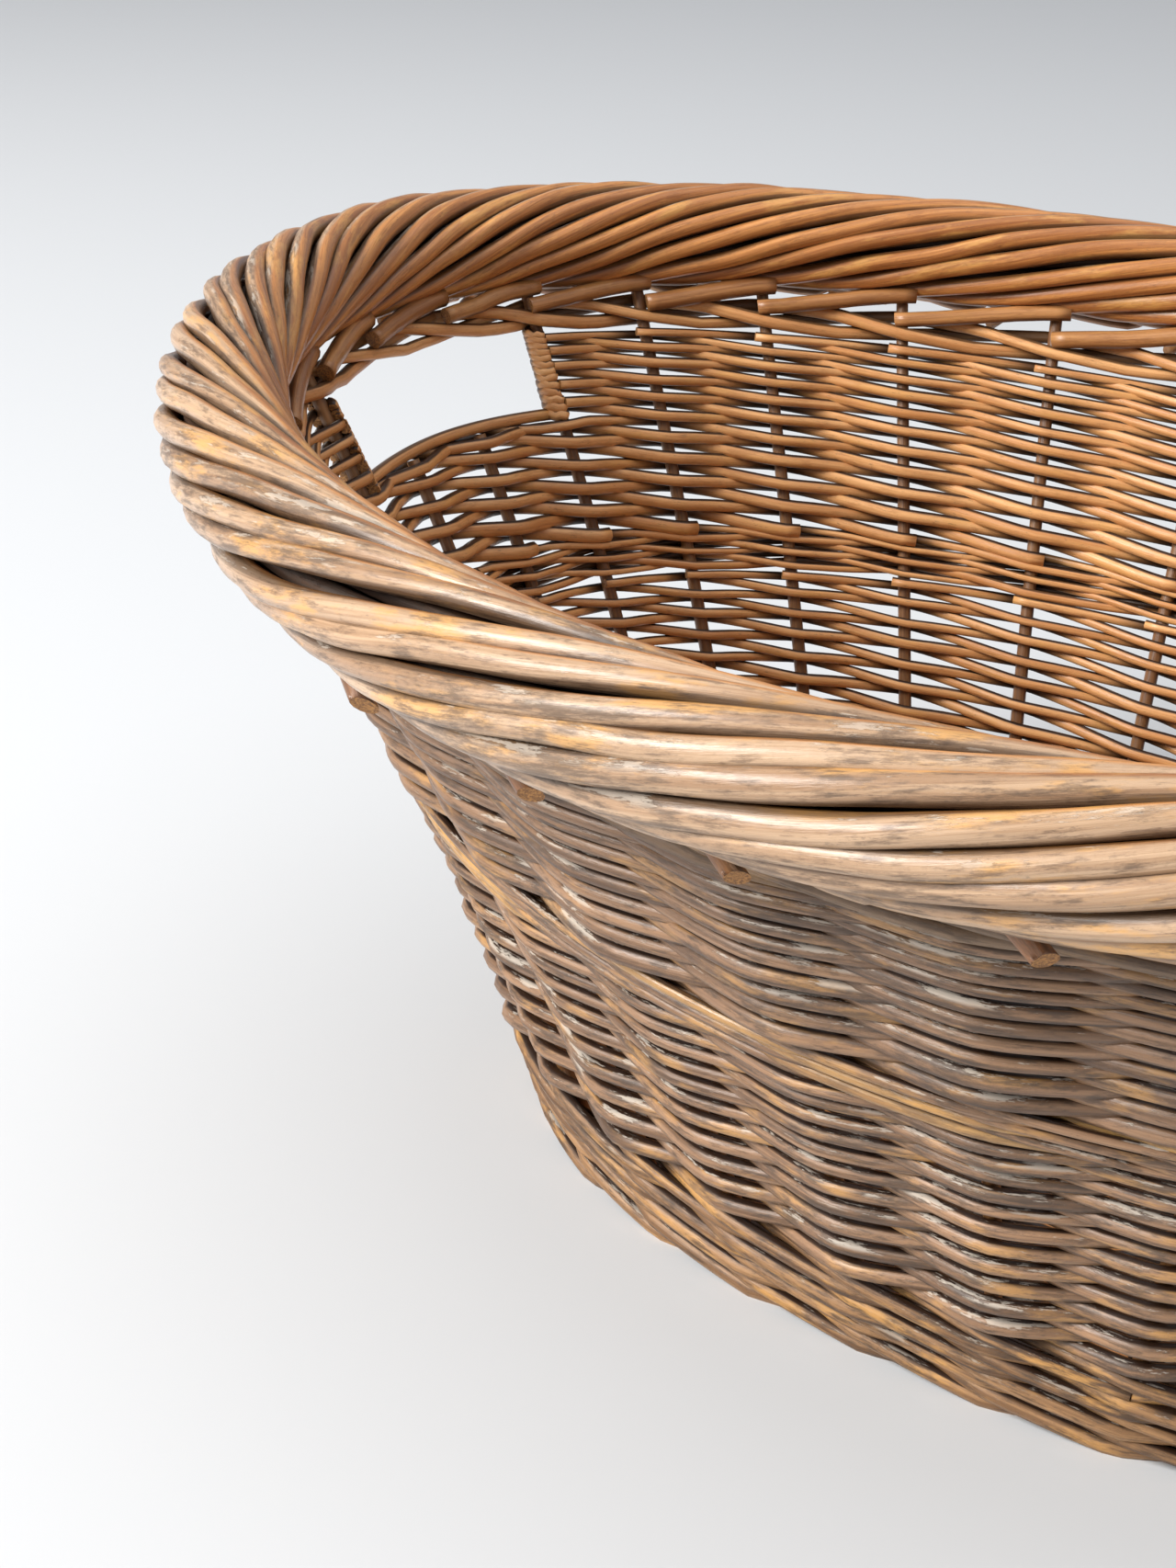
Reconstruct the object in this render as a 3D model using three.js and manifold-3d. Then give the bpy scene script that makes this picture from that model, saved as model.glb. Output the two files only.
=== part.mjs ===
// An oval willow laundry basket: a flat woven base, thirty side stakes, five bands of weaving,
// a hand hold at each end and a thick rolled border. Millimetres, +Z up, +X along the length,
// origin under the middle of the base.
import * as THREE from 'three';
import { mergeVertices } from 'three/addons/utils/BufferGeometryUtils.js';
import Module from 'manifold-3d';

const wasm = await Module();
wasm.setup();

// The ovals. Roundness 2 is an ellipse, and more than 2 is squarer.
const rimHalfLength = 337;
const rimHalfWidth = 258;
const rimRoundness = 1.91;
const baseHalfLength = 205;
const baseHalfWidth = 138;
const baseRoundness = 2.47;

// The border, a thick roll whose centre line rises towards the ends of the basket.
const borderHeight = 269.5;
const borderRise = 15.5;
const borderRadius = 22.5;
const borderCoreRadius = 9;
const borderSides = 14;
const coreSides = 6;

// The wall. Depth is measured inwards from its outer face, and level runs from 0 at the ground
// to 1 at the top of the top wale.
const wallInset = 7.5;
const wallHollow = 6.5;
const wallGapAtSides = 7;
const wallGapAtEnds = 1.5;
const stakeDepth = 8;
const stakeRadius = 3.4;

// The bands of weaving: lowest and highest level, and thickness through the wall.
const bands = [
  { name: 'upsett_wale', low: 0, high: 0.17, thickness: 17.5, finish: 'foot_willow' },
  { name: 'lower_siding', low: 0.174, high: 0.594, thickness: 16, finish: 'side_willow' },
  { name: 'middle_wale', low: 0.598, high: 0.66, thickness: 16.5, finish: 'pale_willow' },
  { name: 'upper_siding', low: 0.664, high: 0.96, thickness: 16, finish: 'side_willow' },
  { name: 'top_wale', low: 0.965, high: 1, thickness: 16.5, finish: 'pale_willow' },
];

// The stakes stand closer together round the ends than along the sides.
const stakeCount = 30;
const stakeCrowding = 1 / 60;
const stakeSides = 5;
const stakeFootLength = 14;
const stakeFootHeight = 7;
const stakeHeelDepth = 12;
const stakeBendHeight = 15.4;
const stakeTopGap = 2.2;

// A stake has a ring of corners just below each band, and one just above the top wale.
const levelBelowBand = 0.002;
const levelAboveWale = 1.004;

// The hand holds, one in each end: a slot over a low sill, between two stakes.
const handHoldHalfWidth = 62;
const handHoldSillHeight = 216;
const handHoldRoomLength = 120;
const handHoldRoomHeight = 80;
const sillRodRadius = 2.6;
const sillRodSteps = 8;
const sillRodReach = 0.031;

// The base: sticks along the basket, threaded through split sticks that lie across it.
const baseThickness = 14;
const baseGap = 0.5;
const longStickCount = 3;
const longStickPitch = 5.6;
const longStickWidth = 5;
const longStickThickness = 5;
const firstCrossStickStake = 4;
const crossStickCount = 6;
const crossStickWidth = 8;
const crossStickThickness = 11;
const stickEndInset = 27;

// The room cut for a rod is wider than the rod by a spare, and its ends are longer by so many
// times that spare. The sill ends are counted in levels.
const fitGap = 0.3;
const stakeTopSpares = 10;
const stickEndSpares = 20;
const sillLevelSpares = 0.01;

// How the curves are made: the divisions of an oval, the part of a turn between the two points
// that give its normal, the slope from which a rod counts as upright, and the size of a lathe.
const ovalDivisions = 720;
const normalStep = 0.004;
const uprightSlope = 0.5;
const latheRadius = 1000;

const finishes = {
  border_willow: { color: 0xc3a679, roughness: 0.5 },
  core_willow: { color: 0x8b6a43, roughness: 0.7 },
  pale_willow: { color: 0xb3966b, roughness: 0.6 },
  side_willow: { color: 0x94795a, roughness: 0.65 },
  foot_willow: { color: 0x8a7151, roughness: 0.7 },
  stake_willow: { color: 0x84643d, roughness: 0.65 },
  base_willow: { color: 0x8f6f48, roughness: 0.7 },
};

class Oval extends THREE.Curve {
  constructor(halfLength, halfWidth, roundness) {
    super();
    this.halfLength = halfLength;
    this.halfWidth = halfWidth;
    this.power = 2 / roundness;
    this.arcLengthDivisions = ovalDivisions;
  }

  getPoint(turn, target = new THREE.Vector3()) {
    const angle = turn * 2 * Math.PI;
    const along = Math.cos(angle);
    const across = Math.sin(angle);
    return target.set(
      this.halfLength * Math.sign(along) * Math.abs(along) ** this.power,
      this.halfWidth * Math.sign(across) * Math.abs(across) ** this.power,
      0,
    );
  }
}

const rimOval = new Oval(rimHalfLength, rimHalfWidth, rimRoundness);
const wallTopOval = new Oval(rimHalfLength - wallInset, rimHalfWidth - wallInset, rimRoundness);
const baseOval = new Oval(baseHalfLength, baseHalfWidth, baseRoundness);

// The whole turn is cut back to 0..1, because arc lengths are only known there.
const wrapTurn = (turn) => turn - Math.floor(turn);

// Shares of the turn, evenly spaced, are drawn together towards the ends of the basket.
const crowded = (even) => even - stakeCrowding * Math.sin(4 * Math.PI * even);

// Where stake number i stands, from the middle of the +X end.
const stakeTurn = (i) => crowded((i + 0.5) / stakeCount);

// The inward normal of an oval, from two points close by, so that it is smooth at the corners.
function inwardNormal(oval, turn) {
  const before = oval.getPointAt(wrapTurn(turn - normalStep));
  const after = oval.getPointAt(wrapTurn(turn + normalStep));
  const tangent = after.sub(before).normalize();
  return new THREE.Vector3(-tangent.y, tangent.x, 0);
}

// How far along the basket a point of the rim is: 0 at mid side, 1 at an end, squared.
function endShare(turn) {
  return (rimOval.getPointAt(wrapTurn(turn)).x / rimHalfLength) ** 2;
}

function borderCentre(turn) {
  const centre = rimOval.getPointAt(wrapTurn(turn));
  centre.z = borderHeight + borderRise * endShare(turn);
  return centre;
}

function wallTopHeight(turn) {
  const share = endShare(turn);
  const gap = wallGapAtSides * (1 - share) + wallGapAtEnds * share;
  return borderCentre(turn).z - borderRadius - gap;
}

// A point of the wall, which leans outwards and is slightly hollow seen from outside.
function wallPoint(turn, depth, level) {
  const at = wrapTurn(turn);
  const point = baseOval.getPointAt(at).lerp(wallTopOval.getPointAt(at), level);
  const inward = inwardNormal(baseOval, at).lerp(inwardNormal(wallTopOval, at), level);
  const hollow = wallHollow * 4 * level * (1 - level);
  point.addScaledVector(inward.normalize(), depth + hollow);
  point.z = level * wallTopHeight(at);
  return point;
}

function facesOutward(geometry) {
  const position = geometry.attributes.position;
  const corners = [new THREE.Vector3(), new THREE.Vector3(), new THREE.Vector3()];
  let volume = 0;
  for (let i = 0; i < geometry.index.count; i += 3) {
    corners.forEach((corner, k) => corner.fromBufferAttribute(position, geometry.index.getX(i + k)));
    volume += corners[0].dot(corners[1].cross(corners[2]));
  }
  return volume > 0;
}

function solidFrom(geometry) {
  const bare = geometry.clone();
  bare.deleteAttribute('normal');
  bare.deleteAttribute('uv');
  const merged = mergeVertices(bare);
  const indices = Uint32Array.from(merged.index.array);
  if (!facesOutward(merged)) {
    indices.reverse();
  }
  const vertProperties = Float32Array.from(merged.attributes.position.array);
  return new wasm.Manifold(new wasm.Mesh({ numProp: 3, vertProperties, triVerts: indices }));
}

function geometryFrom(solid) {
  const mesh = solid.getMesh();
  const geometry = new THREE.BufferGeometry();
  geometry.setAttribute('position', new THREE.BufferAttribute(mesh.vertProperties, mesh.numProp));
  geometry.setIndex(new THREE.BufferAttribute(mesh.triVerts, 1));
  geometry.computeVertexNormals();
  return geometry;
}

// Moves every vertex of a geometry through a function of its position.
function warp(geometry, move) {
  const position = geometry.attributes.position;
  const vertex = new THREE.Vector3();
  for (let i = 0; i < position.count; i += 1) {
    vertex.fromBufferAttribute(position, i);
    const moved = move(vertex);
    position.setXYZ(i, moved.x, moved.y, moved.z);
  }
  return geometry;
}

// A ring round the basket, with its corners midway between the stakes. Its section is a closed
// list of (depth, height) points, and place puts a depth and a height at a share of the turn.
function ovalRing(section, place) {
  const profile = [...section, section[0]].map((p) => new THREE.Vector2(latheRadius - p.x, p.y));
  const lathe = new THREE.LatheGeometry(profile, stakeCount);
  return solidFrom(
    warp(lathe, (v) => {
      const step = Math.round((Math.atan2(v.x, v.z) / (2 * Math.PI)) * stakeCount);
      const turn = wrapTurn(crowded(step / stakeCount));
      return place(turn, latheRadius - Math.hypot(v.x, v.z), v.y);
    }),
  );
}

// A round rod through a list of points, one ring of corners at each. Where the rod climbs, its
// rings are level, as the edges of the bands of weaving are.
function rodThrough(points, radius, sides) {
  const rod = new THREE.CylinderGeometry(radius, radius, 1, sides, points.length - 1);
  const frames = points.map((point, i) => {
    const before = points[Math.max(i - 1, 0)];
    const after = points[Math.min(i + 1, points.length - 1)];
    const tangent = after.clone().sub(before).normalize();
    if (tangent.z > uprightSlope) {
      tangent.set(0, 0, 1);
    }
    const sideways = new THREE.Vector3(-point.y, point.x, 0).normalize();
    const across = sideways.clone().addScaledVector(tangent, -sideways.dot(tangent)).normalize();
    return { point, across, up: tangent.clone().cross(across) };
  });
  return solidFrom(
    warp(rod, (v) => {
      const row = Math.round((v.y + 0.5) * (points.length - 1));
      const { point, across, up } = frames[row];
      return point.clone().addScaledVector(across, v.x).addScaledVector(up, v.z);
    }),
  );
}

// The first stake on each side of each end's middle stops under the hand hold.
const endsAtSill = (i) => [0, stakeCount / 2 - 1, stakeCount / 2, stakeCount - 1].includes(i);

function sillLevel(turn) {
  return handHoldSillHeight / wallTopHeight(turn);
}

// A stake starts flat in the base, turns up through the weaving and ends in the border.
function stakePath(i, spare) {
  const turn = stakeTurn(i);
  const plateEdge = bands[0].thickness;
  const foot = wallPoint(turn, plateEdge + stakeFootLength + spare, 0).setZ(stakeFootHeight);
  const heel = wallPoint(turn, stakeHeelDepth, 0).setZ(stakeFootHeight);
  const bendLevel = stakeBendHeight / wallTopHeight(turn);
  const path = [foot, heel, wallPoint(turn, stakeDepth, bendLevel)];
  const between = bands.slice(1).map((band) => band.low - levelBelowBand);
  if (endsAtSill(i)) {
    const stopLevel = sillLevel(turn) + spare * sillLevelSpares;
    const below = between.filter((level) => level < sillLevel(turn));
    return [...path, ...below.map((level) => wallPoint(turn, stakeDepth, level)),
      wallPoint(turn, stakeDepth, stopLevel)];
  }
  const wallPath = [...between, levelAboveWale].map((level) => wallPoint(turn, stakeDepth, level));
  const centre = borderCentre(turn);
  const last = wallPath[wallPath.length - 1];
  const stop = borderCoreRadius + stakeTopGap - spare * stakeTopSpares;
  const top = centre.clone().add(last.clone().sub(centre).setLength(stop));
  return [...path, ...wallPath, top];
}

function stakeSolid(i) {
  return rodThrough(stakePath(i, 0), stakeRadius, stakeSides);
}

// The room a stake takes in the weaving: the same path, a little longer and wider.
const stakeRooms = Array.from({ length: stakeCount }, (unused, i) =>
  rodThrough(stakePath(i, fitGap * 2), stakeRadius + fitGap, stakeSides));

const cutAll = (solid, tools) => tools.reduce((left, tool) => left.subtract(tool), solid);

function bandSolid({ low, high, thickness }) {
  const section = [[0, 0], [0, 1], [thickness, 1], [thickness, 0]];
  const ring = ovalRing(
    section.map(([depth, share]) => new THREE.Vector2(depth, share)),
    (turn, depth, share) => wallPoint(turn, depth, low + (high - low) * share),
  );
  return cutAll(ring, stakeRooms);
}

// The slot of a hand hold, as a block that runs through the wall at one end.
function handHoldRoom(end) {
  const block = new THREE.BoxGeometry(handHoldRoomLength, handHoldHalfWidth * 2, handHoldRoomHeight);
  const height = handHoldSillHeight + handHoldRoomHeight / 2;
  return solidFrom(block.translate(end * (rimHalfLength - wallInset), 0, height));
}

// The rod that finishes the sill of a hand hold, laid along the top of the weaving.
function sillRod(end) {
  const middle = end > 0 ? 0 : 0.5;
  const points = [];
  for (let k = 0; k <= sillRodSteps; k += 1) {
    const turn = wrapTurn(middle + sillRodReach * ((2 * k) / sillRodSteps - 1));
    const point = wallPoint(turn, stakeDepth, sillLevel(turn));
    point.z = handHoldSillHeight + sillRodRadius + fitGap * 2;
    points.push(point);
  }
  return rodThrough(points, sillRodRadius, stakeSides);
}

// The section of the border or of its core: a circle of corners round its centre line.
function roundRing(radius, sides) {
  const section = [];
  for (let k = 0; k < sides; k += 1) {
    const angle = (2 * Math.PI * (k + 0.5)) / sides;
    section.push(new THREE.Vector2(radius * Math.cos(angle), radius * Math.sin(angle)));
  }
  return ovalRing(section, (turn, depth, height) => {
    const point = borderCentre(turn).addScaledVector(inwardNormal(rimOval, turn), depth);
    point.z += height;
    return point;
  });
}

function borderRoll() {
  const hollow = roundRing(borderCoreRadius + fitGap, coreSides);
  return cutAll(roundRing(borderRadius, borderSides).subtract(hollow), stakeRooms);
}

function longStick(index, spare) {
  const offset = (index - (longStickCount - 1) / 2) * longStickPitch;
  const length = 2 * (baseHalfLength - stickEndInset + spare * stickEndSpares);
  const width = longStickWidth + spare;
  const stick = new THREE.BoxGeometry(length, width, longStickThickness + spare);
  return solidFrom(stick.translate(0, offset, baseThickness / 2));
}

// The cross sticks lie midway between the side stakes, and are split in the middle, so that the
// long sticks pass through them.
function crossStick(index, spare) {
  const stake = firstCrossStickStake + index;
  const offset = baseOval.getPointAt((stakeTurn(stake) + stakeTurn(stake + 1)) / 2).x;
  const share = Math.abs(offset / baseHalfLength) ** baseRoundness;
  const reach = baseHalfWidth * (1 - share) ** (1 / baseRoundness) - stickEndInset;
  const length = 2 * (reach + spare * stickEndSpares);
  const thickness = crossStickThickness + spare;
  const stick = new THREE.BoxGeometry(crossStickWidth + spare, length, thickness);
  return solidFrom(stick.translate(offset, 0, baseThickness / 2));
}

const splitHalfWidth = (longStickPitch * longStickCount) / 2 + fitGap;

function stickSplit() {
  const split = new THREE.BoxGeometry(
    baseHalfLength * 2,
    splitHalfWidth * 2,
    longStickThickness + fitGap * 2,
  );
  return solidFrom(split.translate(0, 0, baseThickness / 2));
}

function basePlate() {
  const edge = bands[0].thickness + baseGap;
  const outline = [];
  for (let k = 0; k < stakeCount; k += 1) {
    const point = wallPoint(crowded(k / stakeCount), edge, 0);
    outline.push(new THREE.Vector2(point.x, point.y));
  }
  const plate = new THREE.ExtrudeGeometry(new THREE.Shape(outline), {
    depth: baseThickness,
    bevelEnabled: false,
  });
  const spare = fitGap * 2;
  const sticks = [];
  for (let i = 0; i < longStickCount; i += 1) {
    sticks.push(longStick(i, spare));
  }
  for (let i = 0; i < crossStickCount; i += 1) {
    sticks.push(crossStick(i, spare));
  }
  return cutAll(cutAll(solidFrom(plate), sticks), stakeRooms);
}

const group = new THREE.Group();

function addNode(name, finish, solid) {
  const material = new THREE.MeshStandardMaterial({ ...finishes[finish], metalness: 0 });
  const mesh = new THREE.Mesh(geometryFrom(solid), material);
  mesh.name = name;
  group.add(mesh);
}

const twoDigits = (number) => String(number).padStart(2, '0');

addNode('base_weave', 'base_willow', basePlate());
for (let i = 0; i < longStickCount; i += 1) {
  addNode(`base_long_stick_${i + 1}`, 'base_willow', longStick(i, 0));
}
for (let i = 0; i < crossStickCount; i += 1) {
  addNode(`base_cross_stick_${i + 1}`, 'base_willow', crossStick(i, 0).subtract(stickSplit()));
}
for (let i = 0; i < stakeCount; i += 1) {
  addNode(`side_stake_${twoDigits(i + 1)}`, 'stake_willow', stakeSolid(i));
}
const handHoldRooms = [handHoldRoom(1), handHoldRoom(-1)];
for (const band of bands) {
  const solid = bandSolid(band);
  const isCut = band.name === 'upper_siding';
  addNode(band.name, band.finish, isCut ? cutAll(solid, handHoldRooms) : solid);
}
addNode('hand_hold_sill_right', 'pale_willow', sillRod(1));
addNode('hand_hold_sill_left', 'pale_willow', sillRod(-1));
addNode('border_core', 'core_willow', roundRing(borderCoreRadius, coreSides));
addNode('border_roll', 'border_willow', borderRoll());

export default group;
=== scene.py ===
"""An oval willow laundry basket: every rod of its base, wall and border laid where a weaver lays it.
Metres, +Z up, +X along the basket, origin on the ground under the middle of the base."""

import math

import bmesh
import bpy
import numpy as np
from mathutils import Matrix, Vector


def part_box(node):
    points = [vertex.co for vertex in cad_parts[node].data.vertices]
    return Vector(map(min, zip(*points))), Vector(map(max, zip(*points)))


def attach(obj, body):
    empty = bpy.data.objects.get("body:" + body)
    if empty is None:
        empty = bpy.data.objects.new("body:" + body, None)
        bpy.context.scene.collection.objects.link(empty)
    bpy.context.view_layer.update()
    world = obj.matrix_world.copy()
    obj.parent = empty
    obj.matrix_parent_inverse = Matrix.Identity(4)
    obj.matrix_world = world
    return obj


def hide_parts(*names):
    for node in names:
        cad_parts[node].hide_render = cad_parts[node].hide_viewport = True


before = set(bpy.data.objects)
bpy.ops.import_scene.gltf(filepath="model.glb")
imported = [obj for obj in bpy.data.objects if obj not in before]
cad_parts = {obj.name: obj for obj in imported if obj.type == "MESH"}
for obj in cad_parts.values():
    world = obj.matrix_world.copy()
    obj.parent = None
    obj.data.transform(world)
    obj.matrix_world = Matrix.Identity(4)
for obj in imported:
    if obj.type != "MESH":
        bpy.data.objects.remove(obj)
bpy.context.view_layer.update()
dice = np.random.default_rng(28)

MM = 0.001
UP = np.array([0.0, 0.0, 1.0])

# A difference in stakes too small to matter.
NEARLY = 1e-6

# The ovals, as half length, half width and roundness: 2 is an ellipse, and more is squarer.
WALL_INSET = 7.5 * MM
BORDER_RADIUS = 22.5 * MM
RIM_HALF_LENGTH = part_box("border_roll")[1][0] - BORDER_RADIUS
RIM_HALF_WIDTH = 258 * MM
RIM_ROUNDNESS = 1.91
BASE_HALF_LENGTH = 205 * MM
BASE_HALF_WIDTH = 138 * MM
BASE_ROUNDNESS = 2.47

# The border's centre line rises towards the ends, and the wall stops a little under it.
BORDER_HEIGHT = 269.5 * MM
BORDER_RISE = 15.5 * MM
GAP_AT_SIDES = 7 * MM
GAP_AT_ENDS = 1.5 * MM
WALL_HOLLOW = 6.5 * MM

# Thirty stakes, closer together round the ends. The middle two of each end stop at the sill.
STAKES = 30
CROWDING = 1 / 60
STAKE_DEPTH = 8 * MM
STAKE_RADIUS = 3.0 * MM
HOLD_POSTS = ((-2, 1), (13, 16))
SILL_HEIGHT = 216 * MM
SILL_ROUND = 4

# The bands of weaving, as lowest and highest level of the wall.
UPSETT = (0.0, 0.17)
LOWER_SIDING = (0.174, 0.594)
MIDDLE_WALE = (0.598, 0.66)
UPPER_SIDING = (0.664, 0.96)
TOP_WALE = (0.962, 1.01)

BASE_MIDDLE = 7 * MM


# ---------------------------------------------------------------- the shape of the basket

OVAL_STEPS = 4096


class Oval:
    """A superellipse whose points are found by their share of the way round."""

    def __init__(self, half_length, half_width, roundness):
        angle = np.linspace(0, 2 * math.pi, OVAL_STEPS + 1)
        c, s = np.cos(angle), np.sin(angle)
        power = 2 / roundness
        self.x = half_length * np.sign(c) * np.abs(c) ** power
        self.y = half_width * np.sign(s) * np.abs(s) ** power
        steps = np.hypot(np.diff(self.x), np.diff(self.y))
        self.length = steps.sum()
        self.share = np.concatenate(([0], np.cumsum(steps))) / self.length

    def at(self, turn):
        turn = np.mod(turn, 1)
        return np.stack([np.interp(turn, self.share, self.x), np.interp(turn, self.share, self.y)], -1)

    def inward(self, turn, step=0.004):
        along = self.at(turn + step) - self.at(turn - step)
        along /= np.linalg.norm(along, axis=-1, keepdims=True)
        return np.stack([-along[..., 1], along[..., 0]], -1)


rim_oval = Oval(RIM_HALF_LENGTH, RIM_HALF_WIDTH, RIM_ROUNDNESS)
wall_top_oval = Oval(RIM_HALF_LENGTH - WALL_INSET, RIM_HALF_WIDTH - WALL_INSET, RIM_ROUNDNESS)
base_oval = Oval(BASE_HALF_LENGTH, BASE_HALF_WIDTH, BASE_ROUNDNESS)


def turn_at(stake):
    """The share of the way round of a stake number, which may lie between two stakes."""
    even = (np.asarray(stake, float) + 0.5) / STAKES
    return even - CROWDING * np.sin(4 * math.pi * even)


def end_share(turn):
    return (rim_oval.at(turn)[..., 0] / RIM_HALF_LENGTH) ** 2


def border_height(turn):
    return BORDER_HEIGHT + BORDER_RISE * end_share(turn)


def wall_top(turn):
    share = end_share(turn)
    gap = GAP_AT_SIDES * (1 - share) + GAP_AT_ENDS * share
    return border_height(turn) - BORDER_RADIUS - gap


def wall_point(turn, depth, level):
    """Points of the wall: depth goes inwards from its outer face, level from 0 up to 1."""
    turn, depth, level = np.broadcast_arrays(turn, depth, level)
    mix = level[..., None]
    flat = base_oval.at(turn) * (1 - mix) + wall_top_oval.at(turn) * mix
    inward = base_oval.inward(turn) * (1 - mix) + wall_top_oval.inward(turn) * mix
    inward /= np.linalg.norm(inward, axis=-1, keepdims=True)
    flat = flat + inward * (depth + WALL_HOLLOW * 4 * level * (1 - level))[..., None]
    return np.concatenate([flat, (level * wall_top(turn))[..., None]], -1)


def smooth(share):
    share = np.clip(share, 0, 1)
    return share * share * (3 - 2 * share)


# A rod's wandering is the sum of a few waves, each with more turns along the rod than the last.
WAVES = 5
TURNS_A_WAVE = 1.7
USUAL_SUM = 1.6


def wander(count, reach):
    """A slow random wave along a rod, seldom much more than reach."""
    along = np.linspace(0, 1, count)
    total = np.zeros(count)
    for k in range(1, WAVES + 1):
        turns = k * along * TURNS_A_WAVE
        total += dice.normal() / k * np.sin(2 * math.pi * (turns + dice.random()))
    return total * reach / USUAL_SUM


# ---------------------------------------------------------------- rods

# How far apart the grain of two rods may start, in metres, and how far turned their flats.
GRAIN_SHIFT = 7
FLATS_SHIFT = 9


class Rod:
    """A willow rod: its middle line, its radii, and the direction that its first corner faces.
    slant is how far its last cut leans, and sunk is 0 in front of the stakes and 1 behind them."""

    def __init__(self, line, radius, facing, slant=0.0, sunk=0.5):
        self.line = np.asarray(line, float)
        self.radius = np.broadcast_to(radius, len(self.line)).astype(float)
        self.facing = np.broadcast_to(facing, self.line.shape)
        self.slant = slant
        self.sunk = np.broadcast_to(sunk, len(self.line))
        self.seed = dice.random()


def resampled(line, count):
    """The same line with count points, evenly spaced."""
    steps = np.linalg.norm(np.diff(line[:, :3], axis=0), axis=1)
    along = np.concatenate(([0], np.cumsum(steps)))
    at = np.linspace(0, along[-1], count)
    return np.stack([np.interp(at, along, line[:, k]) for k in range(line.shape[1])], 1)


def rod_blank(rings, sides):
    """A closed cylinder from z 0 to 1 with so many rings of corners, as a mesh."""
    bm = bmesh.new()
    upright = Matrix.Translation((0, 0, 0.5))
    bmesh.ops.create_cone(
        bm, cap_ends=True, segments=sides, radius1=1, radius2=1, depth=1, matrix=upright
    )
    long_edges = [e for e in bm.edges if abs(e.verts[0].co.z - e.verts[1].co.z) > 0.5]
    bmesh.ops.subdivide_edges(bm, edges=long_edges, cuts=rings - 2, use_grid_fill=True)
    bmesh.ops.recalc_face_normals(bm, faces=bm.faces)
    for face in bm.faces:
        face.smooth = len(face.verts) == 4
        face.material_index = 0 if face.smooth else 1
    mesh = bpy.data.meshes.new("rod_blank")
    bm.to_mesh(mesh)
    bm.free()
    return mesh


def lay_out(rod, ring, angle, corner):
    """Where the blank's corners come on this rod, and their place along and round it."""
    along = np.gradient(rod.line, axis=0)
    along /= np.linalg.norm(along, axis=1, keepdims=True)
    sideways = np.cross(along, rod.facing)
    sideways /= np.linalg.norm(sideways, axis=1, keepdims=True)
    outward = np.cross(sideways, along)
    radius = rod.radius[ring, None] * corner[:, None]
    offset = radius * (np.cos(angle)[:, None] * outward[ring] + np.sin(angle)[:, None] * sideways[ring])
    lean = np.where(ring == len(rod.line) - 1, rod.slant, 0) * np.cos(angle) * rod.radius[ring]
    place = rod.line[ring] + offset + lean[:, None] * along[ring]
    steps = np.concatenate(([0], np.cumsum(np.linalg.norm(np.diff(rod.line, axis=0), axis=1))))
    middle = float(rod.radius.mean())
    lay = np.stack([steps[ring] + rod.seed * GRAIN_SHIFT, middle * np.cos(angle), middle * np.sin(angle)], 1)
    return place, lay


def rods_piece(name, rods, rings, sides, willow_finish, nodes, corner_wave=0.0):
    """One piece made of many rods, standing for CAD nodes, in the finish willow_finish."""
    blank = rod_blank(rings, sides)
    count = len(blank.vertices)
    co = np.empty(count * 3)
    blank.vertices.foreach_get("co", co)
    co = co.reshape(-1, 3)
    ring = np.rint(co[:, 2] * (rings - 1)).astype(int)
    angle = np.arctan2(co[:, 1], co[:, 0])
    bm = bmesh.new()
    for _ in rods:
        bm.from_mesh(blank)
    mesh = bpy.data.meshes.new(name)
    bm.to_mesh(mesh)
    bm.free()
    bpy.data.meshes.remove(blank)
    places, lays, seeds, fronts, depths = [], [], [], [], []
    for rod in rods:
        line = resampled(np.column_stack([rod.line, rod.radius, rod.facing, rod.sunk]), rings)
        rod.line, rod.radius, rod.facing = line[:, :3], line[:, 3], line[:, 4:7]
        corner = 1 + corner_wave * np.sin(2 * angle + rod.seed * FLATS_SHIFT)
        place, lay = lay_out(rod, ring, angle, corner)
        places.append(place)
        lays.append(lay)
        seeds.append(np.full(count, rod.seed))
        fronts.append(np.cos(angle))
        depths.append(line[ring, 7])
    mesh.vertices.foreach_set("co", np.concatenate(places).ravel())
    mesh.attributes.new("lay", "FLOAT_VECTOR", "POINT").data.foreach_set(
        "vector", np.concatenate(lays).ravel()
    )
    for key, values in (("rod_seed", seeds), ("rod_front", fronts), ("rod_sunk", depths)):
        mesh.attributes.new(key, "FLOAT", "POINT").data.foreach_set("value", np.concatenate(values))
    mesh.update()
    mesh.materials.append(willow_finish)
    mesh.materials.append(cut_willow)
    piece = bpy.data.objects.new(name, mesh)
    bpy.context.scene.collection.objects.link(piece)
    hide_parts(*nodes)
    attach(piece, "root")


# ---------------------------------------------------------------- finishes

class Value:
    """A shader socket that takes part in sums, so that shader maths reads as Python."""

    def __init__(self, finish, socket):
        self.finish = finish
        self.socket = socket

    def _math(self, operation, *others):
        values = dict(enumerate((self, *others)))
        return self.finish.add("ShaderNodeMath", {"operation": operation}, values)

    def __add__(self, other):
        return self._math("ADD", other)

    def __mul__(self, other):
        return self._math("MULTIPLY", other)

    def __sub__(self, other):
        return self._math("SUBTRACT", other)

    def __rsub__(self, other):
        return self * -1 + other

    __radd__ = __add__
    __rmul__ = __mul__

    def __abs__(self):
        return self._math("ABSOLUTE")

    def rises(self, low, high):
        """0 up to low, 1 from high on, and smooth between."""
        return self.finish.add(
            "ShaderNodeMapRange",
            {"interpolation_type": "SMOOTHSTEP"},
            {"Value": self, "From Min": low, "From Max": high},
        )

    def output(self, name):
        """Another output of the node that this one comes from."""
        return Value(self.finish, self.socket.node.outputs[name])


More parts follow.
